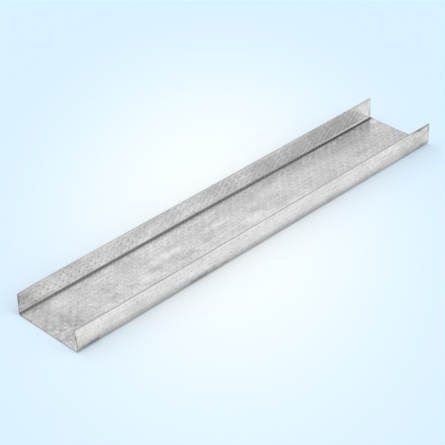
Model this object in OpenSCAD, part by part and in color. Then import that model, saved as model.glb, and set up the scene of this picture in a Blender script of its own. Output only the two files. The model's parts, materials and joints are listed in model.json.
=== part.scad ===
// Drywall track channel: one length of roll-formed galvanised sheet.
// It lies on its web with both flanges up. +X runs along the length, +Z is up,
// and the origin is on the underside of the web, halfway along and across.

/* [Track] */
// Length of the cut piece
track_l = 612; // [100:1:3000]
// Width of the web over the outside of both bends
web_w = 100; // [40:0.5:200]
// Height of the flange edges above the underside of the web
flange_h = 31; // [20:0.5:60]

/* [Sheet] */
// Thickness of the sheet
sheet_t = 0.6; // [0.4:0.05:1.5]
// Radius of each bend on the outside of the sheet
bend_r = 4; // [2:0.1:8]
// Angle that each flange leans in from upright
toe_in = 1; // [0:0.1:4]

/* [Hidden] */
$fn = 96;

// The toe-in, taken to an angle whose cosine has six decimals, so that the turned
// flange meets the end of its bend with no step
toe_angle = acos(round(cos(toe_in) * 1e6) / 1e6);
// Distance of each bend's centre from the middle of the web
bend_y = web_w / 2 - bend_r;
// Length of the flat part of a flange, from the end of its bend to its edge
flange_flat = (flange_h - bend_r - bend_r * sin(toe_angle)) / cos(toe_angle);

// The channel's outline filled in, at a depth into the sheet from its outer face:
// a block over the web, and at each side the bend's circle with a bar standing on it
// that leans in with the flange. The tops are raised by rise.
module filled_outline(depth, rise) {
    r = bend_r - depth;
    translate([-bend_y, depth])
        square([2 * bend_y, r + rise]);
    for (side = [0, 1])
        mirror([side, 0])
            translate([bend_y, bend_r]) {
                circle(r = r);
                rotate(toe_angle)
                    translate([-r, 0])
                        square([2 * r, flange_flat + rise]);
            }
}

// The sheet is what lies between its outer and its inner face.
module track_section() {
    difference() {
        filled_outline(depth = 0, rise = 0);
        filled_outline(depth = sheet_t, rise = flange_h);
    }
}

// The section runs the whole length, and both ends are cut square.
module track_channel() {
    color("lightsteelblue")
        rotate([90, 0, 90])
            linear_extrude(height = track_l, center = true)
                track_section();
}

track_channel();
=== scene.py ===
"""The looks of a drywall track channel: embossed galvanised sheet on a plain studio floor."""

import json
import logging
import math
from dataclasses import dataclass, field
from enum import Enum
from typing import Any, Callable

import bpy
import numpy as np
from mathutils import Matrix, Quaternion, Vector


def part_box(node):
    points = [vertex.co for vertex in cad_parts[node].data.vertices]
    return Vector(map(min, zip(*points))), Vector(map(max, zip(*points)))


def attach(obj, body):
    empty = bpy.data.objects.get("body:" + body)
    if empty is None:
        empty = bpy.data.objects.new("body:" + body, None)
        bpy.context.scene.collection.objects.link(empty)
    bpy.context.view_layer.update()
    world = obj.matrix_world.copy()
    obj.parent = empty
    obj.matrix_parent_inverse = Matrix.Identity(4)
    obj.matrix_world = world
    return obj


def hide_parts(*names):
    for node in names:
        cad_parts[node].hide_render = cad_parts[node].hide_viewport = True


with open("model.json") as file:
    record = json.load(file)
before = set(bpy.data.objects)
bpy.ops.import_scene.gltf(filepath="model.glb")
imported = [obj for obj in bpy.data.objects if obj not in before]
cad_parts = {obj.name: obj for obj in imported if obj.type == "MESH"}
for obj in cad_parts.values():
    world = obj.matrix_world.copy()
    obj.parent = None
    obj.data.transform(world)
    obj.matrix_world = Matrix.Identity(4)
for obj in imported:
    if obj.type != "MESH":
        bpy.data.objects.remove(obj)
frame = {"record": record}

LOG = logging.getLogger("track_channel")
CAD_NODE = "track_channel"
BODY = "root"
MM = 0.001
TINY = 0.002 * MM
MERGE_REACH = 5 * TINY
QUARTER_TURN = math.pi / 2
ALMOST_NONE = 0.01
# Eight edges meet in the middle of a poked oblong, so a dimple's rim has eight sides.
RIM_SIDES = 8
# The Mix node's sockets when it mixes colours.
MIX_SHARE, MIX_FIRST, MIX_SECOND, MIXED = 0, 6, 7, 2


class Relief(Enum):
    """The two forms that the embossing rolls press into the sheet, seen from inside the channel."""

    PIT = -1
    BUMP = 1


class Side(Enum):
    """The two long sides of the channel."""

    RIGHT = -1
    LEFT = 1


def linear(code: str) -> tuple[float, float, float, float]:
    """Turn an sRGB hex colour into linear values.

    Args:
        code: Six hex digits, with or without a leading hash.

    Returns:
        Linear red, green and blue, and an alpha of 1.
    """
    digits = code.lstrip("#")
    shares = [int(digits[i : i + 2], 16) / 255 for i in (0, 2, 4)]
    curve = [s / 12.92 if s <= 0.04045 else ((s + 0.055) / 1.055) ** 2.4 for s in shares]
    return curve[0], curve[1], curve[2], 1.0


def mount(name: str) -> dict[str, Any]:
    """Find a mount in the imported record.

    Args:
        name: The mount's name.

    Returns:
        The mount's entry, with its position and axis.
    """
    return next(m for m in frame["record"]["mounts"] if m["name"] == name)


def only(piece: bpy.types.Object) -> None:
    """Make one object the only one selected, and the active one.

    Args:
        piece: The object to work on.
    """
    bpy.ops.object.select_all(action="DESELECT")
    piece.select_set(True)
    bpy.context.view_layer.objects.active = piece


def points(piece: bpy.types.Object) -> np.ndarray:
    """Read an object's vertex places.

    Args:
        piece: A mesh object.

    Returns:
        One row of x, y and z for each vertex, in metres.
    """
    places = np.empty(len(piece.data.vertices) * 3, np.float32)
    piece.data.vertices.foreach_get("co", places)
    return places.reshape(-1, 3).astype(float)


def select(piece: bpy.types.Object, chosen: np.ndarray) -> None:
    """Select vertices by a mask, with the edges and faces that lie wholly between them.

    Args:
        piece: A mesh object, in object mode.
        chosen: One truth value for each vertex.
    """
    mesh = piece.data
    mesh.vertices.foreach_set("select", chosen)
    ends = np.empty(len(mesh.edges) * 2, np.int32)
    mesh.edges.foreach_get("vertices", ends)
    mesh.edges.foreach_set("select", chosen[ends.reshape(-1, 2)].all(axis=1))
    corners = np.empty(len(mesh.loops), np.int32)
    mesh.loops.foreach_get("vertex_index", corners)
    starts = np.empty(len(mesh.polygons), np.int32)
    mesh.polygons.foreach_get("loop_start", starts)
    mesh.polygons.foreach_set("select", np.logical_and.reduceat(chosen[corners], starts))


def edit(piece: bpy.types.Object, *steps: Callable[[], Any], mode: str = "VERT") -> None:
    """Run operators in edit mode on what is selected.

    Args:
        piece: The mesh object to edit.
        steps: What to do there, in order.
        mode: The kind of element that selection acts on.
    """
    only(piece)
    bpy.ops.object.mode_set(mode="EDIT")
    bpy.ops.mesh.select_mode(type=mode)
    for step in steps:
        step()
    bpy.ops.object.mode_set(mode="OBJECT")


def all_of_it() -> None:
    """Select the whole mesh in edit mode."""
    bpy.ops.mesh.select_all(action="SELECT")


def apply_modifiers(piece: bpy.types.Object) -> None:
    """Apply an object's modifiers, first to last.

    Args:
        piece: A mesh object.
    """
    only(piece)
    for name in [m.name for m in piece.modifiers]:
        bpy.ops.object.modifier_apply(modifier=name)


def add_node(tree: bpy.types.NodeTree, kind: str, inputs: dict[Any, Any],
             **settings: Any) -> bpy.types.Node:
    """Add a node with its settings, values and links.

    Args:
        tree: The node tree to add it to.
        kind: The node's type, such as ShaderNodeMath.
        inputs: A value, or another node's output socket, for each input by name or number.
        settings: The node's own settings.

    Returns:
        The new node.
    """
    node = tree.nodes.new(kind)
    for name, value in settings.items():
        setattr(node, name, value)
    for place, value in inputs.items():
        if isinstance(value, bpy.types.NodeSocket):
            tree.links.new(value, node.inputs[place])
        else:
            node.inputs[place].default_value = value
    return node


@dataclass
class EmbossedTrack:
    """The track itself: one strip of embossed sheet, folded along two lines into a channel.

    All sizes are in metres. The strip is embossed and cut to width while it is flat, then folded and cut
    to length.
    `bend_relief` is the share of the embossing that the bends keep. Edges that cross a bend are
    divided by how much of a column's pitch they span: long ones into more parts than short ones.
    """

    bend_radius: float = 4 * MM
    rim_radius: float = 1.5 * MM
    floor_radius: float = 0.65 * MM
    emboss: float = 0.11 * MM
    bend_relief: float = 0.3
    row_pitch: float = 5.95 * MM
    columns_to_bend: int = 8
    long_span: float = 0.8
    long_cuts: int = 5
    short_span: float = 0.25
    short_cuts: int = 1
    cut_slant: float = math.radians(2.6)
    edge_burr: float = 0.01 * MM
    spring_in: float = 1.3 * MM
    spring_out: float = 0.4 * MM
    spring_reach: float = 70 * MM
    smooth_angle: float = math.radians(40)
    thickness: float = field(init=False)
    toe_in: float = field(init=False)
    low: Vector = field(init=False)
    high: Vector = field(init=False)

    def __post_init__(self) -> None:
        """Take the sheet's thickness, the toe-in and the overall size from the frame."""
        self.thickness = mount("stud_seat")["pos_m"][2]
        self.toe_in = math.asin(mount("board_face_left")["axis"][2])
        self.low, self.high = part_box(CAD_NODE)

    @property
    def fold_start(self) -> float:
        """Distance from the middle of the web to the start of a bend."""
        return self.high.y - self.bend_radius

    @property
    def middle_depth(self) -> float:
        """Depth of the sheet's middle below the tips of the bumps on its outer face."""
        return self.thickness / 2 + self.emboss

    @property
    def fold_width(self) -> float:
        """Width of the sheet that goes into one bend, along its middle."""
        return (self.bend_radius - self.middle_depth) * self.fold_angle

    @property
    def fold_angle(self) -> float:
        """Angle that each bend turns the sheet through."""
        return QUARTER_TURN + self.toe_in

    @property
    def flange_flat(self) -> float:
        """Width of a flange from the end of its bend to its edge."""
        rise = self.high.z - self.bend_radius - self.bend_radius * math.sin(self.toe_in)
        return rise / math.cos(self.toe_in)

    @property
    def half_strip(self) -> float:
        """Half the width of the flat strip."""
        return self.fold_start + self.fold_width + self.flange_flat

    @property
    def bend_middle(self) -> float:
        """Distance from the middle of the flat strip to the middle of a bend."""
        return self.fold_start + self.fold_width / 2

    @property
    def column_pitch(self) -> float:
        """Spacing of the columns of dimples, such that one runs along the middle of each bend."""
        return self.bend_middle / self.columns_to_bend

    def dimple(self, relief: Relief, row: int, column: int) -> bpy.types.Object:
        """Model one oblong of sheet with a round dimple pressed into its middle.

        Args:
            relief: Whether the dimple goes down or up.
            row: The oblong's place along the strip.
            column: The oblong's place across the strip.

        Returns:
            The oblong, with an eight-sided rim, a sloping wall and a small flat floor.
        """
        bpy.ops.object.select_all(action="DESELECT")
        bpy.ops.mesh.primitive_plane_add(size=1)
        cell = bpy.context.object
        oblong = (self.row_pitch, self.column_pitch, 1)
        edit(cell, all_of_it, lambda: bpy.ops.transform.resize(value=oblong),
             lambda: bpy.ops.mesh.subdivide(number_cuts=1),
             bpy.ops.mesh.dissolve_faces, bpy.ops.mesh.poke)
        select(cell, np.abs(points(cell)).max(axis=1) < TINY)
        edit(cell, lambda: bpy.ops.mesh.bevel(
             offset=self.rim_radius, offset_type="OFFSET", affect="VERTICES"))
        share = np.abs(points(cell)[:, :2]) / (self.row_pitch / 2, self.column_pitch / 2)
        side_middle = (share.max(axis=1) > 1 - ALMOST_NONE) & (share.min(axis=1) < ALMOST_NONE)
        select(cell, side_middle)
        edit(cell, bpy.ops.mesh.dissolve_verts)
        select(cell, np.hypot(*points(cell)[:, :2].T) < self.rim_radius + TINY)
        wall = (self.rim_radius - self.floor_radius) * math.cos(math.pi / RIM_SIDES)
        press = relief.value * self.emboss
        edit(cell, lambda: bpy.ops.mesh.inset(thickness=wall, depth=press), mode="FACE")
        edit(cell, all_of_it, lambda: bpy.ops.transform.translate(
             value=(row * self.row_pitch, column * self.column_pitch, 0)))
        return cell

    def repeat(self, strip: bpy.types.Object, step: Vector, count: int) -> None:
        """Copy the strip's mesh in a row and join the copies where they meet.

        Args:
            strip: The piece of strip so far.
            step: The way from one copy to the next.
            count: How many copies there are in all.
        """
        row = strip.modifiers.new("row", "ARRAY")
        row.use_relative_offset = False
        row.use_constant_offset = True
        row.constant_offset_displace = step
        row.count = count
        row.use_merge_vertices = True
        row.merge_threshold = MERGE_REACH
        apply_modifiers(strip)

    def embossed_strip(self) -> bpy.types.Object:
        """Emboss a flat strip that is a little over size, and cut it to its width.

        Returns:
            The strip's middle surface, flat, with pits and bumps by turns.
        """
        rows, columns = (2 * math.ceil(half / (2 * pitch)) for half, pitch in
                         ((self.high.x, self.row_pitch), (self.half_strip, self.column_pitch)))
        cells = [self.dimple(Relief.PIT if (i + j) % 2 == 0 else Relief.BUMP, i - rows, j - columns)
                 for i in (0, 1) for j in (0, 1)]
        bpy.ops.object.select_all(action="DESELECT")
        for cell in cells:
            cell.select_set(True)
        bpy.context.view_layer.objects.active = cells[0]
        bpy.ops.object.join()
        strip = bpy.context.object
        edit(strip, all_of_it, lambda: bpy.ops.mesh.remove_doubles(threshold=MERGE_REACH))
        self.repeat(strip, Vector((2 * self.row_pitch, 0, 0)), rows + 1)
        self.repeat(strip, Vector((0, 2 * self.column_pitch, 0)), columns + 1)
        for side in Side:
            self.cut(strip, Vector((0, side.value * self.half_strip, 0)), Vector((0, side.value, 0)))
        return strip

    def cut(self, sheet: bpy.types.Object, place: Vector, outward: Vector) -> None:
        """Cut the sheet along a plane and take away what lies beyond it.

        Args:
            sheet: The sheet to cut.
            place: A point on the plane.
            outward: The way towards the part that is taken away.
        """
        edit(sheet, all_of_it, lambda: bpy.ops.mesh.bisect(
             plane_co=place, plane_no=outward, clear_outer=True, threshold=TINY))

    def end_cuts(self) -> list[tuple[Vector, Vector]]:
        """Work out the planes of the two end cuts, which lean a little from square.

        Returns:
            For each end, a point on the plane and the way out of the sheet.
        """
        lean = Vector((math.cos(self.cut_slant), 0, math.sin(self.cut_slant)))
        return [(Vector((self.low.x, 0, self.high.z)), -lean),
                (Vector((self.high.x, 0, self.low.z)), lean)]

    def spring(self, sheet: bpy.types.Object) -> None:
        """Let the flanges spring a little in at one end and out at the other, as rolled sections do.

        Args:
            sheet: The folded sheet.
        """
        places = points(sheet)
        side = np.sign(places[:, 1])
        height = np.clip((places[:, 2] - self.bend_radius) / (self.high.z - self.bend_radius), 0, None)
        first, last = (np.clip(1 - np.abs(places[:, 0] - end) / self.spring_reach, 0, 1) ** 2
                       for end in (self.low.x, self.high.x))
        places[:, 1] -= side * height * (self.spring_in * first - self.spring_out * last)
        sheet.data.vertices.foreach_set("co", places.astype(np.float32).ravel())
        sheet.data.update()

    def note_flat_places(self, strip: bpy.types.Object) -> None:
        """Keep each point's place on the flat strip, and how far it is pressed, for the finish.

        Args:
            strip: The flat strip.
        """
        places = points(strip)
        pressed = strip.data.attributes.new("pressed", "FLOAT", "POINT")
        pressed.data.foreach_set("value", (places[:, 2] / self.emboss).astype(np.float32))
        places[:, 2] = 0
        unrolled = strip.data.attributes.new("unrolled", "FLOAT_VECTOR", "POINT")
        unrolled.data.foreach_set("vector", places.astype(np.float32).ravel())

    def ease_folds(self, strip: bpy.types.Object) -> None:
        """Divide the edges that cross the two bends, so that the sheet turns round them smoothly.

        Args:
            strip: The flat strip.
        """
        for width, cuts in ((self.long_span, self.long_cuts), (self.short_span, self.short_cuts)):
            places = points(strip)
            ends = np.empty(len(strip.data.edges) * 2, np.int32)
            strip.data.edges.foreach_get("vertices", ends)
            first, second = places[ends.reshape(-1, 2)].transpose(1, 0, 2)
            spans = np.abs(first[:, 1] - second[:, 1])
            near = [np.abs(np.abs(end[:, 1]) - self.bend_middle) < self.column_pitch / 2 + TINY
                    for end in (first, second)]
            chosen = near[0] & near[1] & (spans > width * self.column_pitch)
            select(strip, np.zeros(len(places), bool))
            strip.data.edges.foreach_set("select", chosen)
            edit(strip, lambda: bpy.ops.mesh.subdivide(number_cuts=cuts), mode="EDGE")
        across = np.abs(points(strip)[:, 1])
        select(strip, np.abs(across - self.bend_middle) < self.column_pitch / 2 + TINY)
        edit(strip, lambda: bpy.ops.mesh.quads_convert_to_tris(
             quad_method="BEAUTY", ngon_method="BEAUTY"), mode="FACE")

    def iron_bends(self, strip: bpy.types.Object) -> None:
        """Press the dimples of the two bends nearly flat, as the forming rolls do.

        Args:
            strip: The flat strip.
        """
        across = np.abs(points(strip)[:, 1])
        select(strip, np.abs(across - self.bend_middle) < self.column_pitch / 2 - TINY)
        edit(strip, lambda: bpy.ops.transform.resize(
             value=(1, 1, self.bend_relief), center_override=(0, 0, 0)))

    def fold(self, strip: bpy.types.Object, side: Side) -> None:
        """Fold the sheet up along one side.

        Args:
            strip: The strip, with its web at its final height.
            side: Which side to fold.
        """
        bpy.ops.object.empty_add(location=(0, side.value * self.fold_start, self.middle_depth),
                                 rotation=(QUARTER_TURN, 0, QUARTER_TURN * (1 + side.value)))
        hinge = bpy.context.object
        bpy.context.view_layer.update()
        reach = side.value * points(strip)[:, 1] - self.fold_start
        span = reach.max() - reach.min()
        bend = strip.modifiers.new("fold", "SIMPLE_DEFORM")
        bend.deform_method = "BEND"
        bend.deform_axis = "X"
        bend.origin = hinge
        bend.angle = self.fold_angle
        bend.limits = (-reach.min() / span, (self.fold_width - reach.min()) / span)
        apply_modifiers(strip)
        bpy.data.objects.remove(hinge)

    def thicken(self, sheet: bpy.types.Object) -> None:
        """Give the folded surface the sheet's thickness, and note which face each point is on.

        Args:
            sheet: The folded middle surface.
        """
        edit(sheet, all_of_it, lambda: bpy.ops.mesh.normals_make_consistent(inside=False))
        count = len(sheet.data.vertices)
        gauge = sheet.modifiers.new("gauge", "SOLIDIFY")
        gauge.thickness = self.thickness
        gauge.offset = 0
        gauge.material_offset_rim = 1
        apply_modifiers(sheet)
        heart = np.array([0, self.high.z])
        away = np.hypot(*(points(sheet)[:, 1:] - heart).T)
        shells = away[:count], away[count:]
        inner = int(shells[0].mean() > shells[1].mean())
        inside = sheet.data.attributes.new("inside", "FLOAT", "POINT")
        inside.data.foreach_set("value", np.repeat([1.0 - inner, inner], count).astype(np.float32))

    def true_edges(self, sheet: bpy.types.Object) -> None:
        """Bring the cut edges back to true planes, which thickening leaves where a cut meets a dimple.

        Args:
            sheet: The thickened sheet.
        """
        places = points(sheet)
        flat = np.empty(len(places) * 3, np.float32)
        sheet.data.attributes["unrolled"].data.foreach_get("vector", flat)
        long_edge = np.abs(flat.reshape(-1, 3)[:, 1]) > self.half_strip - TINY
        places[long_edge, 2] = self.high.z - self.edge_burr
        for point, outward in self.end_cuts():
            beyond = (places - np.array(point)) @ np.array(outward)
            cut = np.abs(beyond) < self.thickness / 2
            places[cut, 0] -= beyond[cut] / outward.x
        sheet.data.vertices.foreach_set("co", places.astype(np.float32).ravel())
        sheet.data.update()

    def build(self, sheet_finish: bpy.types.Material,
              edge_finish: bpy.types.Material) -> bpy.types.Object:
        """Make the whole piece and set it in the frame.

        Args:
            sheet_finish: The material of both faces.
            edge_finish: The material of the cut edges.

        Returns:
            The finished piece.
        """
        sheet = self.embossed_strip()
        self.iron_bends(sheet)
        self.note_flat_places(sheet)
        self.ease_folds(sheet)
        edit(sheet, all_of_it, lambda: bpy.ops.transform.translate(value=(0, 0, self.middle_depth)))
        for side in Side:
            self.fold(sheet, side)
        for point, outward in self.end_cuts():
            self.cut(sheet, point, outward)
        self.spring(sheet)
        sheet.data.materials.append(sheet_finish)
        sheet.data.materials.append(edge_finish)
        self.thicken(sheet)
        self.true_edges(sheet)
        only(sheet)
        bpy.ops.object.shade_smooth_by_angle(angle=self.smooth_angle)
        sheet.name = sheet.data.name = "embossed_track"
        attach(sheet, BODY)
        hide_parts(CAD_NODE)
        triangles = sum(len(face.vertices) - 2 for face in sheet.data.polygons)
        LOG.info("%s: %d triangles", sheet.name, triangles)
        return sheet


class Where(Enum):
    """The part of the embossing that a mark lies on."""

    ALL = "all"
    PITS = "pits"
    BUMPS = "bumps"


@dataclass(frozen=True)
class Mark:
    """A soft-edged mark on one face of the sheet: a smudge, a stain, a patch of painted shade, a patch of
    painted sheen.

    Its place and half sizes are in millimetres on the flat strip: along it from its middle, with
    the near end at -X, and across it from the middle of the web, with the left flange at +Y.
    """

    along: float
    across: float
    half_along: float
    half_across: float
    tone: str
    strength: float
    inside: bool = True
    where: Where = Where.ALL


@dataclass(frozen=True)
class Layer:
    """A tone laid over the zinc where a value is high.

    There is none of it at `start`, and `strength` of it at `full`.
    """

    value: bpy.types.NodeSocket
    start: float
    full: float
    tone: str
    strength: float = 1.0
    blend: str = "MIX"


# A white for bloom, and for painted sheen and painted highlights.
BLOOM_AND_SHEEN = "#FFFFFF"
# A grey for grime, and for painted shade in the pits and in darker patches of the sheen.
GRIME_AND_SHADE = "#6A6B6D"
# A near black for smudges, and for painted shade by the folds and at the cut edges.
SOOT_AND_SHADE = "#36393B"

MARKS = (
    # Oil, dust and painted shade in the pits of the left flange, and along one line of the web.
    Mark(-230, 62, 78, 15, GRIME_AND_SHADE, 0.65, where=Where.PITS),
    Mark(-130, 64, 48, 13, GRIME_AND_SHADE, 0.4, where=Where.PITS),
    Mark(-78, 62, 26, 10, GRIME_AND_SHADE, 0.4, where=Where.PITS),
    Mark(-240, 21.5, 66, 5, GRIME_AND_SHADE, 0.45, where=Where.PITS),
    # Pale patches of painted sheen on the web.
    Mark(-262, 32, 18, 10, BLOOM_AND_SHEEN, 0.5),
    Mark(-227, -10, 13, 7, BLOOM_AND_SHEEN, 0.5),
    Mark(-161, -3, 17, 12, BLOOM_AND_SHEEN, 0.6),
    Mark(-109, 14, 44, 9, BLOOM_AND_SHEEN, 0.9),
    Mark(-24, 17, 30, 8, BLOOM_AND_SHEEN, 0.9),
    Mark(22, -6, 36, 12, BLOOM_AND_SHEEN, 0.8),
    Mark(40, -18, 130, 12, BLOOM_AND_SHEEN, 0.6),
    Mark(76, 24, 40, 12, BLOOM_AND_SHEEN, 0.8),
    Mark(300, 38, 10, 10, BLOOM_AND_SHEEN, 0.8),
    Mark(150, 20, 26, 7, BLOOM_AND_SHEEN, 0.6),
    # The same painted sheen on the left flange, and a painted highlight along its bend at the far end.
    Mark(-94, 66, 24, 14, BLOOM_AND_SHEEN, 0.6),
    Mark(230, 55, 30, 5, BLOOM_AND_SHEEN, 0.6),
    Mark(-30, 60, 90, 8, BLOOM_AND_SHEEN, 0.6),
    Mark(130, 76.5, 150, 4, BLOOM_AND_SHEEN, 0.8),
    Mark(288, 56, 30, 6, BLOOM_AND_SHEEN, 0.7),
    # Darker patches of painted shade, where the sheen is uneven, at the near end, on the web and the left
    # flange.
    Mark(-281, 3, 38, 26, GRIME_AND_SHADE, 0.28),
    Mark(-286, -25, 38, 28, GRIME_AND_SHADE, 0.28),
    Mark(-288, 34, 40, 18, GRIME_AND_SHADE, 0.14),
    Mark(-264, 54, 80, 4.5, GRIME_AND_SHADE, 0.32),
    Mark(-288, 68, 40, 16, GRIME_AND_SHADE, 0.14),
    # More darker patches of painted shade further along, on the web and the left flange.
    Mark(130, 40, 110, 9, GRIME_AND_SHADE, 0.16),
    Mark(-207, -3, 9, 6, GRIME_AND_SHADE, 0.28),
    Mark(-179, -3, 12, 6, GRIME_AND_SHADE, 0.25),
    Mark(-138, 1, 14, 9, GRIME_AND_SHADE, 0.25),
    Mark(-89, -4, 18, 8, GRIME_AND_SHADE, 0.28),
    Mark(-52, 1, 18, 6, GRIME_AND_SHADE, 0.2),
    Mark(34, 6, 26, 8, GRIME_AND_SHADE, 0.2),
    Mark(228, 1, 24, 8, GRIME_AND_SHADE, 0.26),
    Mark(-300, 18, 14, 12, GRIME_AND_SHADE, 0.16),
    Mark(-202, 15, 24, 13, GRIME_AND_SHADE, 0.18),
    Mark(-192, 72, 16, 8, GRIME_AND_SHADE, 0.18),
    Mark(300, -6, 16, 14, GRIME_AND_SHADE, 0.12),
    Mark(240, 70, 50, 6, GRIME_AND_SHADE, 0.1),
    Mark(-258, -10, 60, 34, GRIME_AND_SHADE, 0.22),
    Mark(284, -4, 52, 44, GRIME_AND_SHADE, 0.1),
    Mark(298, 70, 24, 12, GRIME_AND_SHADE, 0.12),
    # Painted shade on the web beside the left fold, towards the far end, where the web mirrors the
    # flange.
    Mark(240, 39, 60, 8, SOOT_AND_SHADE, 0.3),
    Mark(268, 39, 16, 6, SOOT_AND_SHADE, 0.25),
    Mark(200, 40, 20, 5, SOOT_AND_SHADE, 0.22),
    Mark(288, 48.5, 26, 4, SOOT_AND_SHADE, 0.2),
    Mark(190, 47.5, 120, 4, SOOT_AND_SHADE, 0.2),
    Mark(238, 46.5, 76, 5, SOOT_AND_SHADE, 0.3),
    # Painted highlights on the bumps at the near end of the web, where they catch the light.
    Mark(-280, 0, 32, 24, BLOOM_AND_SHEEN, 0.75, where=Where.BUMPS),
    Mark(-294, -30, 16, 22, BLOOM_AND_SHEEN, 0.75, where=Where.BUMPS),
    # Brown and yellow stains from the store, on both flanges.
    Mark(-297, 66, 14, 13, "#7D706C", 0.28),
    Mark(-270, 69, 16, 10, "#C4BD95", 0.22),
    Mark(38, 58, 16, 9, "#BDB99A", 0.18),
    Mark(-294, -62, 20, 12, "#C9C2A4", 0.25, inside=False),
    Mark(286, -64, 26, 17, "#968F86", 0.3, inside=False),
    Mark(262, -56, 16, 8, "#86686A", 0.26, inside=False),
    # Black rubs low on the right flange.
    Mark(-284, -51, 22, 5, SOOT_AND_SHADE, 0.55, inside=False),
    Mark(-114, -51, 30, 7, SOOT_AND_SHADE, 0.5, inside=False),
    Mark(-76, -51, 12, 5, SOOT_AND_SHADE, 0.2, inside=False),
    # Towards the right flange's far end: painted shade along the top edge and at its top corner, a dark
    # line low down, grime, and one pale streak.
    Mark(292, -76.6, 34, 2.4, SOOT_AND_SHADE, 0.75, inside=False),
    Mark(288, -50, 34, 4, SOOT_AND_SHADE, 0.35, inside=False),
    Mark(307, -74, 12, 9, SOOT_AND_SHADE, 0.9, inside=False),
    Mark(248, -74, 28, 4, GRIME_AND_SHADE, 0.15, inside=False),
    Mark(236, -53, 40, 6, BLOOM_AND_SHEEN, 0.3, inside=False),
    Mark(268, -66, 62, 14, GRIME_AND_SHADE, 0.14, inside=False),
    # At the cut ends: painted shade where the right flange's inner face is seen edge-on at the near end,
    # and dark lines at both ends of the left flange and along its top edge at the far end.
    Mark(-306, -64, 3, 15, SOOT_AND_SHADE, 0.9, inside=False),
    Mark(-306, 70, 6, 16, SOOT_AND_SHADE, 0.6),
    Mark(288, 78.4, 30, 6, SOOT_AND_SHADE, 0.3),
    Mark(306, 56, 7, 9, SOOT_AND_SHADE, 0.42),
)


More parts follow.
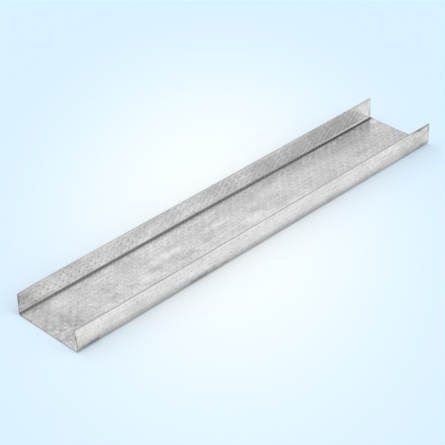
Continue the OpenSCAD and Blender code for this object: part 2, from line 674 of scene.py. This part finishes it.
@dataclass(frozen=True)
class GalvanisedSheet:
    """Hot-dip galvanised steel sheet, skin-passed, embossed and roll-formed.

    The zinc is a grey metal with a small dull crystal pattern, so reflections are wide and soft.
    The rolls leave fine lines along the strip. The bends are darkened with painted shade, and the pits
    with a little oil and painted shade.
    The crystals, about 0.4 mm wide on such sheet, and the grain that the rolls print, about 0.1 mm,
    are too fine to show, and are drawn coarser.
    """

    zinc: str = "#FCFCFC"
    dull_zinc: str = "#EDEDED"
    dull_crystal: str = "#E0E0E0"
    rolled_line: str = "#F0F0F0"
    # The pits are darkened partly by oil, partly by painted shade in the hollows.
    pit_oil_and_shade: str = "#B4B5B6"
    fold_shade: str = "#666768"
    # The dark line at the cuts: partly burr, partly painted shade.
    burr_and_shade: str = "#4A4B4D"
    roughness: float = 0.21
    dull_roughness: float = 0.28
    crystal: float = 1.0 * MM
    blotch: float = 9 * MM
    cloud: float = 45 * MM
    line_length: float = 90 * MM
    line_spacing: float = 1.6 * MM
    grain: float = 0.5 * MM
    grain_depth: float = 0.02 * MM
    grain_strength: float = 0.15
    # Painted shade in the bends: a dark line in each inner crease, drifting on to the web, and a darker
    # band low on each outer face.
    fold_shade_width: float = 4.1 * MM
    fold_shade_drift: tuple[float, float] = (0.35 * MM, -1.7 * MM)
    fold_shade_strength: float = 0.96
    outer_fold_shade_width: float = 12 * MM
    outer_fold_shade_rise: float = 0.8 * MM
    outer_fold_shade_strength: float = 0.43
    burr_and_shade_width: float = 1.0 * MM
    edge_burr_and_shade_strength: float = 0.9
    end_burr_and_shade_strength: float = 0.6
    raggedness: float = 1.5
    marks: tuple[Mark, ...] = MARKS
    # A haze on the left flange, whose strength is the roughness that it adds.
    haze: Mark = Mark(150, 70, 230, 36, BLOOM_AND_SHEEN, 0.06)

    def build(self, track: EmbossedTrack) -> bpy.types.Material:
        """Make the material.

        Args:
            track: The track that it covers, for the places of the bends and edges.

        Returns:
            The material.
        """
        # Galvanised steel: grey metal, softly speckled and clouded, with a wide dull sheen.
        material = bpy.data.materials.new("galvanised_sheet")
        material.use_nodes = True
        tree = material.node_tree
        tree.nodes.clear()
        flat = add_node(tree, "ShaderNodeAttribute", {}, attribute_name="unrolled").outputs["Vector"]
        pressed = add_node(tree, "ShaderNodeAttribute", {}, attribute_name="pressed").outputs["Fac"]
        inside = add_node(tree, "ShaderNodeAttribute", {}, attribute_name="inside").outputs["Fac"]
        outside = add_node(tree, "ShaderNodeMath", {0: 1.0, 1: inside}, operation="SUBTRACT").outputs[0]
        face = add_node(tree, "ShaderNodeMath", {0: outside, 1: inside}, operation="SUBTRACT")
        pitted = add_node(tree, "ShaderNodeMath", {0: pressed, 1: face.outputs[0]},
                          operation="MULTIPLY").outputs[0]
        cloud = add_node(tree, "ShaderNodeTexNoise", {"Vector": flat, "Scale": 1 / self.cloud,
                         "Detail": 3.0, "Roughness": 0.6}).outputs["Fac"]
        blotch = add_node(tree, "ShaderNodeTexNoise", {"Vector": flat, "Scale": 1 / self.blotch,
                          "Detail": 2.0}).outputs["Fac"]
        layers = self.zinc_layers(tree, flat, pitted, cloud, blotch)
        layers += self.fold_shade_layers(tree, track, flat, inside, outside)
        # Marks: stains and smudges, and also painted shade, painted sheen and painted highlights.
        for mark in self.marks:
            seen_on = inside if mark.inside else outside
            layers.append(self.mark_layer(tree, mark, flat, seen_on, pitted, blotch))
        layers += self.burr_and_shade_layers(tree, track, flat, outside)
        colour = linear(self.zinc)
        for layer in layers:
            share = add_node(tree, "ShaderNodeMapRange", {"Value": layer.value, "From Min": layer.start,
                             "From Max": layer.full, "To Max": layer.strength},
                             interpolation_type="SMOOTHSTEP")
            colour = add_node(tree, "ShaderNodeMix", {MIX_SHARE: share.outputs[0], MIX_FIRST: colour,
                              MIX_SECOND: linear(layer.tone)},
                              data_type="RGBA", blend_type=layer.blend).outputs[MIXED]
        rough = add_node(tree, "ShaderNodeMapRange", {"Value": cloud, "From Min": 0.3, "From Max": 0.7,
                         "To Min": self.roughness, "To Max": self.dull_roughness})
        haze = self.mark_layer(tree, self.haze, flat, inside, pitted, blotch)
        dulled = add_node(tree, "ShaderNodeMapRange", {"Value": haze.value, "To Max": haze.strength},
                          interpolation_type="SMOOTHSTEP")
        rough = add_node(tree, "ShaderNodeMath", {0: rough.outputs[0], 1: dulled.outputs[0]},
                         operation="ADD")
        grain = add_node(tree, "ShaderNodeTexNoise", {"Vector": flat, "Scale": 1 / self.grain,
                         "Detail": 2.0})
        bump = add_node(tree, "ShaderNodeBump", {"Height": grain.outputs["Fac"],
                        "Strength": self.grain_strength, "Distance": self.grain_depth})
        shader = add_node(tree, "ShaderNodeBsdfPrincipled", {"Base Color": colour, "Metallic": 1.0,
                          "Roughness": rough.outputs[0], "Normal": bump.outputs[0]})
        add_node(tree, "ShaderNodeOutputMaterial", {"Surface": shader.outputs[0]})
        return material

    def zinc_layers(self, tree: bpy.types.NodeTree, flat: bpy.types.NodeSocket,
                    pitted: bpy.types.NodeSocket, cloud: bpy.types.NodeSocket,
                    blotch: bpy.types.NodeSocket) -> list[Layer]:
        """Make the layers that cover the whole sheet: dull clouds, crystals, rolled lines, and pits
        darkened by oil and painted shade.

        Args:
            tree: The material's node tree.
            flat: Places on the flat strip.
            pitted: How deep the place lies in a pit, as seen from its own face.
            cloud: A broad noise.
            blotch: A finer noise.

        Returns:
            The layers, first to last.
        """
        crystal = add_node(tree, "ShaderNodeTexVoronoi", {"Vector": flat, "Scale": 1 / self.crystal,
                           "Randomness": 1.0}, feature="SMOOTH_F1").outputs["Color"]
        drawn = add_node(tree, "ShaderNodeMapping", {"Vector": flat,
                         "Scale": (1 / self.line_length, 1 / self.line_spacing, 1)}).outputs[0]
        line = add_node(tree, "ShaderNodeTexNoise", {"Vector": drawn, "Scale": 1.0,
                        "Detail": 4.0}).outputs["Fac"]
        # Darker pits: a little oil, and painted shade in the hollows.
        oil_and_shade = add_node(tree, "ShaderNodeMath", {0: pitted, 1: blotch}, operation="MULTIPLY").outputs[0]
        return [Layer(cloud, start=0.35, full=0.7, tone=self.dull_zinc),
                Layer(crystal, start=0.15, full=0.85, tone=self.dull_crystal, blend="MULTIPLY"),
                Layer(line, start=0.38, full=0.62, tone=self.rolled_line, blend="MULTIPLY"),
                Layer(oil_and_shade, start=0.2, full=0.65, tone=self.pit_oil_and_shade)]

    def fold_shade_layers(self, tree: bpy.types.NodeTree, track: EmbossedTrack, flat: bpy.types.NodeSocket,
                   inside: bpy.types.NodeSocket, outside: bpy.types.NodeSocket) -> list[Layer]:
        """Make the painted shade of the bends: a dark line in each inner crease, and a darker band low on
        each outer face.

        Args:
            tree: The material's node tree.
            track: The track, for the place of the bends.
            flat: Places on the flat strip.
            inside: 1 on the inner face and 0 on the outer.
            outside: 1 on the outer face and 0 on the inner.

        Returns:
            A narrow layer on the inner face, which drifts on to the web, and a wide one on the outer.
        """
        place = add_node(tree, "ShaderNodeSeparateXYZ", {0: flat})
        reach = add_node(tree, "ShaderNodeMath", {0: place.outputs["Y"]}, operation="ABSOLUTE").outputs[0]
        drift = add_node(tree, "ShaderNodeMapRange", {"Value": place.outputs["X"], "From Min": 0.0,
                         "From Max": track.high.x, "To Min": track.bend_middle + self.fold_shade_drift[0],
                         "To Max": track.bend_middle + self.fold_shade_drift[1]}).outputs[0]
        rise = track.bend_middle + self.outer_fold_shade_rise
        layers = []
        # Painted shade: each inner crease is darkened, and each outer face darkens towards its bottom
        # bend.
        for middle, face, width, strength in (
                (drift, inside, self.fold_shade_width, self.fold_shade_strength),
                (rise, outside, self.outer_fold_shade_width, self.outer_fold_shade_strength)):
            off = add_node(tree, "ShaderNodeMath", {0: reach, 1: middle}, operation="SUBTRACT").outputs[0]
            off = add_node(tree, "ShaderNodeMath", {0: off}, operation="ABSOLUTE").outputs[0]
            near = add_node(tree, "ShaderNodeMath", {0: off, 1: -1 / width, 2: 1.0},
                            operation="MULTIPLY_ADD").outputs[0]
            near = add_node(tree, "ShaderNodeMath", {0: near, 1: face}, operation="MINIMUM").outputs[0]
            layers.append(Layer(near, 0.0, 1.0, self.fold_shade, strength))
        return layers

    def burr_and_shade_layers(self, tree: bpy.types.NodeTree, track: EmbossedTrack, flat: bpy.types.NodeSocket,
                    outside: bpy.types.NodeSocket) -> list[Layer]:
        """Make the thin dark line along the cuts: partly the shear's burr, partly painted shade.

        It is on the outer face along the strip, and on both faces at its ends.

        Args:
            tree: The material's node tree.
            track: The track, for the place of its cuts.
            flat: Places on the flat strip.
            outside: 1 on the outer face and 0 on the inner.

        Returns:
            A layer for the long edges and one for each end.
        """
        across = add_node(tree, "ShaderNodeSeparateXYZ", {0: flat}).outputs["Y"]
        reach = add_node(tree, "ShaderNodeMath", {0: across}, operation="ABSOLUTE").outputs[0]
        place = add_node(tree, "ShaderNodeTexCoord", {}).outputs["Object"]
        levels = [(reach, track.half_strip, outside, self.edge_burr_and_shade_strength)]
        for point, outward in track.end_cuts():
            beyond = add_node(tree, "ShaderNodeVectorMath", {0: place, 1: outward},
                              operation="DOT_PRODUCT").outputs["Value"]
            levels.append((beyond, point.dot(outward), 1.0, self.end_burr_and_shade_strength))
        layers = []
        # Partly burr, partly painted shade along the cut edges.
        for level, cut, face, strength in levels:
            near = add_node(tree, "ShaderNodeMath", {0: level, 1: 1 / self.burr_and_shade_width,
                            2: 1 - cut / self.burr_and_shade_width}, operation="MULTIPLY_ADD").outputs[0]
            near = add_node(tree, "ShaderNodeMath", {0: near, 1: face}, operation="MINIMUM").outputs[0]
            layers.append(Layer(near, 0.0, 1.0, self.burr_and_shade, strength))
        return layers

    def mark_layer(self, tree: bpy.types.NodeTree, mark: Mark, flat: bpy.types.NodeSocket,
                   face: bpy.types.NodeSocket, pitted: bpy.types.NodeSocket,
                   ragged: bpy.types.NodeSocket) -> Layer:
        """Make the layer for one mark.

        Args:
            tree: The material's node tree.
            mark: The mark.
            flat: Places on the flat strip.
            face: 1 on the mark's face of the sheet and 0 on the other.
            pitted: How deep the place lies in a pit, as seen from its own face.
            ragged: A noise that breaks the mark's outline.

        Returns:
            The layer.
        """
        middle = (-mark.along / mark.half_along, -mark.across / mark.half_across, 0)
        scale = (1 / (mark.half_along * MM), 1 / (mark.half_across * MM), 0)
        local = add_node(tree, "ShaderNodeMapping", {"Vector": flat, "Location": middle, "Scale": scale})
        off = add_node(tree, "ShaderNodeVectorMath", {0: local.outputs[0]},
                       operation="LENGTH").outputs["Value"]
        near = add_node(tree, "ShaderNodeMath", {0: ragged, 1: self.raggedness,
                        2: 1 - self.raggedness / 2}, operation="MULTIPLY_ADD").outputs[0]
        near = add_node(tree, "ShaderNodeMath", {0: near, 1: off}, operation="SUBTRACT").outputs[0]
        near = add_node(tree, "ShaderNodeMath", {0: near, 1: face}, operation="MINIMUM").outputs[0]
        if mark.where != Where.ALL:
            sign = 1.0 if mark.where == Where.PITS else -1.0
            spot = add_node(tree, "ShaderNodeMath", {0: pitted, 1: sign},
                            operation="MULTIPLY").outputs[0]
            near = add_node(tree, "ShaderNodeMath", {0: near, 1: spot}, operation="MINIMUM").outputs[0]
        return Layer(near, 0.0, 1.0, mark.tone, mark.strength)


@dataclass(frozen=True)
class ShearedEdge:
    """The sheet's cut edge: bare steel from the shear, darker and rougher than the zinc."""

    steel: str = "#97989A"
    smear: str = "#CFD0D2"
    roughness: float = 0.55
    streak: float = 0.4 * MM

    def build(self) -> bpy.types.Material:
        """Make the material.

        Returns:
            The material.
        """
        # Bare sheared steel: a thin line, darker and duller than the faces, with fine streaks.
        material = bpy.data.materials.new("sheared_edge")
        material.use_nodes = True
        tree = material.node_tree
        tree.nodes.clear()
        place = add_node(tree, "ShaderNodeTexCoord", {}).outputs["Object"]
        noise = add_node(tree, "ShaderNodeTexNoise", {"Vector": place, "Scale": 1 / self.streak,
                         "Detail": 2.0})
        colour = add_node(tree, "ShaderNodeMix", {MIX_SHARE: noise.outputs["Fac"],
                          MIX_FIRST: linear(self.steel), MIX_SECOND: linear(self.smear)},
                          data_type="RGBA").outputs[MIXED]
        shader = add_node(tree, "ShaderNodeBsdfPrincipled", {"Base Color": colour,
                          "Metallic": 1.0, "Roughness": self.roughness})
        add_node(tree, "ShaderNodeOutputMaterial", {"Surface": shader.outputs[0]})
        return material


@dataclass(frozen=True)
class Flag:
    """A soft dark panel against the sky.

    It darkens the sky from `edge` inwards, fully at `heart`, both in degrees from its direction.
    `fall` is the share of the light that it takes away there.
    """

    direction: tuple[float, float, float]
    edge: float
    heart: float
    fall: float


@dataclass
class Studio:
    """A pale floor under a wide soft sky that is brightest near the horizon.

    Two opposite soft lamps brighten the floor evenly, and don't show in the metal.
    """

    floor_size: float = 14.0
    plain_tone: str = "#EDEDED"
    near_tone: str = "#ECF0F1"
    far_tone: str = "#CBE1F0"
    tint_middle: tuple[float, float, float] = (0.0, 0.03, 0)
    tint_turn: tuple[float, float, float] = (0, 0, math.radians(-45))
    tint_size: tuple[float, float, float] = (0.35, 0.63, 1)
    low_sky: float = 1.27
    high_sky: float = 0.9
    sky_turn: tuple[float, float] = (0.62, 0.9)
    back_fall: float = 0.3
    flags: tuple[Flag, ...] = (Flag((0.79, -0.35, 0.5), edge=21, heart=8, fall=0.72),
                               Flag((0.894, 0, 0.447), edge=42, heart=20, fall=0.33),
                               Flag((-0.85, 0, 0.53), edge=80, heart=45, fall=0.25))
    lamp_angle: float = math.radians(80)
    lamp_power: float = 0.76
    lamp_distance: float = 3.0
    lamps_from: tuple[Vector, ...] = (Vector((-0.45, 0.3, 0.84)), Vector((0.3, -0.45, 0.84)))

    def build(self) -> None:
        """Make the floor, the sky and the lamps."""
        bpy.ops.object.select_all(action="DESELECT")
        bpy.ops.mesh.primitive_plane_add(size=self.floor_size)
        floor = bpy.context.object
        floor.name = "studio_floor"
        floor.data.materials.append(self.floor_paint())
        self.sky()
        for came_from in self.lamps_from:
            bpy.ops.object.light_add(type="SUN", location=self.lamp_distance * came_from)
            lamp = bpy.context.object
            lamp.name = "soft_lamp"
            lamp.data.energy = self.lamp_power
            lamp.data.angle = self.lamp_angle
            lamp.visible_glossy = False
            lamp.rotation_mode = "QUATERNION"
            lamp.rotation_quaternion = came_from.to_track_quat("Z", "Y")

    def floor_paint(self) -> bpy.types.Material:
        """Make the floor's matt paint: a cool oval vignette of painted light, paler in the middle and
        darker outwards, which the metal mirrors as a plain tone.

        Returns:
            The material.
        """
        # Matt studio paint: no gloss at all, so that the floor stays plain and pale.
        material = bpy.data.materials.new("matt_floor_paint")
        material.use_nodes = True
        tree = material.node_tree
        tree.nodes.clear()
        place = add_node(tree, "ShaderNodeTexCoord", {}).outputs["Object"]
        # Painted light: the oval is paler in the middle and darker and bluer outwards.
        oval = add_node(tree, "ShaderNodeMapping", {"Vector": place, "Location": self.tint_middle,
                        "Rotation": self.tint_turn, "Scale": self.tint_size}, vector_type="TEXTURE")
        far = add_node(tree, "ShaderNodeVectorMath", {0: oval.outputs[0]}, operation="LENGTH")
        share = add_node(tree, "ShaderNodeMapRange", {"Value": far.outputs["Value"]},
                         interpolation_type="SMOOTHSTEP").outputs[0]
        seen = add_node(tree, "ShaderNodeMix", {MIX_SHARE: share, MIX_FIRST: linear(self.near_tone),
                        MIX_SECOND: linear(self.far_tone)}, data_type="RGBA").outputs[MIXED]
        direct = add_node(tree, "ShaderNodeLightPath", {}).outputs["Is Camera Ray"]
        colour = add_node(tree, "ShaderNodeMix", {MIX_SHARE: direct,
                          MIX_FIRST: linear(self.plain_tone), MIX_SECOND: seen},
                          data_type="RGBA").outputs[MIXED]
        shader = add_node(tree, "ShaderNodeBsdfDiffuse", {"Color": colour})
        add_node(tree, "ShaderNodeOutputMaterial", {"Surface": shader.outputs[0]})
        return material

    def sky(self) -> None:
        """Make the sky: bright up to about forty degrees, darker overhead and towards +Y, with flags."""
        world = bpy.data.worlds.new("studio_sky")
        bpy.context.scene.world = world
        world.use_nodes = True
        tree = world.node_tree
        tree.nodes.clear()
        way = add_node(tree, "ShaderNodeTexCoord", {}).outputs["Generated"]
        part = add_node(tree, "ShaderNodeSeparateXYZ", {0: way})
        height = add_node(tree, "ShaderNodeMapRange", {"Value": part.outputs["Z"],
                          "From Min": self.sky_turn[0], "From Max": self.sky_turn[1],
                          "To Min": self.low_sky, "To Max": self.high_sky},
                          interpolation_type="SMOOTHSTEP")
        back = add_node(tree, "ShaderNodeMapRange", {"Value": part.outputs["Y"], "From Min": -0.5,
                        "From Max": 0.5, "To Min": 1.0, "To Max": 1 - self.back_fall},
                        interpolation_type="SMOOTHSTEP")
        power = add_node(tree, "ShaderNodeMath", {0: height.outputs[0], 1: back.outputs[0]},
                         operation="MULTIPLY").outputs[0]
        for flag in self.flags:
            heart_way = Vector(flag.direction).normalized()
            towards = add_node(tree, "ShaderNodeVectorMath", {0: way, 1: heart_way},
                               operation="DOT_PRODUCT").outputs["Value"]
            shade = add_node(tree, "ShaderNodeMapRange", {"Value": towards,
                             "From Min": math.cos(math.radians(flag.edge)),
                             "From Max": math.cos(math.radians(flag.heart)), "To Min": 1.0,
                             "To Max": 1 - flag.fall}, interpolation_type="SMOOTHSTEP").outputs[0]
            power = add_node(tree, "ShaderNodeMath", {0: power, 1: shade},
                             operation="MULTIPLY").outputs[0]
        glow = add_node(tree, "ShaderNodeBackground", {"Color": linear("#FFFFFF"), "Strength": power})
        add_node(tree, "ShaderNodeOutputWorld", {"Surface": glow.outputs[0]})


@dataclass
class ViewPoint:
    """A camera that looks down along the channel from beyond one end and its right side."""

    azimuth: float = math.radians(-45.29)
    elevation: float = math.radians(33.74)
    roll: float = math.radians(-0.61)
    distance: float = 1.8674
    target: tuple[float, float, float] = (-0.02958, 0, 0.01457)
    lens: float = 125.8
    sensor: float = 36.0
    clip: tuple[float, float] = (0.1, 50.0)

    def build(self) -> None:
        """Make the camera and give it to the scene."""
        back = Vector((math.sin(self.azimuth) * math.cos(self.elevation),
                       -math.cos(self.azimuth) * math.cos(self.elevation), math.sin(self.elevation)))
        bpy.ops.object.select_all(action="DESELECT")
        bpy.ops.object.camera_add(location=Vector(self.target) + back * self.distance)
        camera = bpy.context.object
        camera.name = "view_point"
        camera.rotation_mode = "QUATERNION"
        camera.rotation_quaternion = back.to_track_quat("Z", "Y") @ Quaternion((0, 0, 1), self.roll)
        camera.data.lens = self.lens
        camera.data.sensor_width = self.sensor
        camera.data.dof.use_dof = False
        camera.data.clip_start, camera.data.clip_end = self.clip
        bpy.context.scene.camera = camera
        LOG.info("camera stands %.2f m away", self.distance)


def corners(box: tuple[Vector, Vector]) -> list[list[float]]:
    """Turn a box into plain lists of numbers."""
    return [list(corner) for corner in box]


def main() -> None:
    """Build the view, the studio and the track, in that order."""
    logging.basicConfig(level=logging.INFO, format="%(message)s")
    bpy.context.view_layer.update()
    bpy.context.scene.view_settings.view_transform = "Standard"
    ViewPoint().build()
    Studio().build()
    track = EmbossedTrack()
    track.build(GalvanisedSheet().build(track), ShearedEdge().build())


if __name__ == "__main__":
    main()
